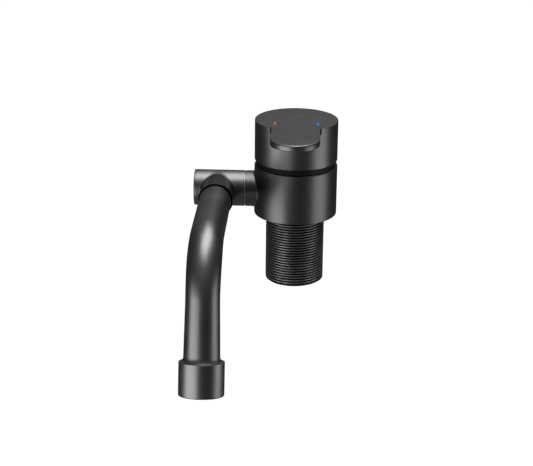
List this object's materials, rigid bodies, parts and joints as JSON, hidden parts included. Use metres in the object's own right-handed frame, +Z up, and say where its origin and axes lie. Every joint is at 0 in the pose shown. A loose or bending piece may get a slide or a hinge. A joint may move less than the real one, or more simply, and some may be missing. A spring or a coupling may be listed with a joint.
{
  "type": "folding kitchen faucet",
  "caption": "Single-lever kitchen mixer on a threaded shank, with a tongue handle and a side arm whose bent spout folds and swivels.",
  "frame": {"origin": "centre of the body's underside, in the plane that sits on the deck", "axes": "+Z up along the body's axis, -Y to the front where the tongue and the spout point, the side arm along -X"},
  "size_m": [0.0775, 0.1481, 0.1107],
  "materials": {
    "black_metal": "satin black coat on brass",
    "black_thread": "satin black coat on a cut thread",
    "dark_plastic": "matte black",
    "grey_plastic": "grey low-friction plastic",
    "white_plastic": "matte off-white",
    "ceramic": "lapped ceramic",
    "rubber": "matte black rubber",
    "brass": "turned brass",
    "steel": "plain steel",
    "red_mark": "red enamel",
    "blue_mark": "blue enamel"
  },
  "bodies": {
    "valve": {"main_body": "black_metal", "threaded_shank": "black_thread", "deck_seal": "rubber", "cartridge_base": "white_plastic", "port_seals": "rubber", "fixed_disc": "ceramic", "cartridge_housing": "white_plastic", "retaining_nut": "black_thread", "pivot_spindle": "brass", "spindle_seals": "rubber", "slip_washer": "grey_plastic", "retaining_washer": "steel", "retaining_screw": "steel"},
    "mixer": {"turning_yoke": "white_plastic", "pivot_pin": "steel", "neck_ring": "dark_plastic"},
    "disc": {"moving_disc": "ceramic", "disc_carrier": "dark_plastic"},
    "handle": {"lever_stem": "brass", "handle_cap": "black_metal", "grub_screw": "steel", "screw_plug": "dark_plastic", "hot_mark": "red_mark", "cold_mark": "blue_mark"},
    "collar": {"swivel_collar": "black_metal", "collar_end_cap": "black_metal", "stub_set_screw": "steel"},
    "spout": {"spout_tube": "black_metal", "spout_ferrule": "brass", "spout_seals": "rubber", "nozzle_shell": "black_metal", "aerator_washer": "rubber", "aerator_screen": "steel", "aerator_body": "dark_plastic"}
  },
  "joints": [
    {"name": "handle_turn", "type": "hinge", "parent": "valve", "child": "mixer", "pos_m": [0, 0, 0.03205], "axis": [0, 0, 1], "range_deg": [-45, 45]},
    {"name": "handle_lift", "type": "hinge", "parent": "mixer", "child": "handle", "pos_m": [0, 0, 0.03205], "axis": [-1, 0, 0], "range_deg": [0, 15]},
    {"name": "disc_slide", "type": "slide", "parent": "mixer", "child": "disc", "axis": [0, -1, 0], "range_m": [0, 0.00163]},
    {"name": "spout_fold", "type": "hinge", "parent": "valve", "child": "collar", "pos_m": [-0.0275, 0, 0.0127], "axis": [-1, 0, 0], "range_deg": [-20, 180]},
    {"name": "spout_swivel", "type": "hinge", "parent": "collar", "child": "spout", "pos_m": [-0.0422, -0.0218, 0.0127], "axis": [0, -1, 0], "range_deg": [-90, 90]}
  ],
  "couplings": [
    {"joint": "disc_slide", "follows": "handle_lift", "m_per_rad": 0.0062}
  ]
}
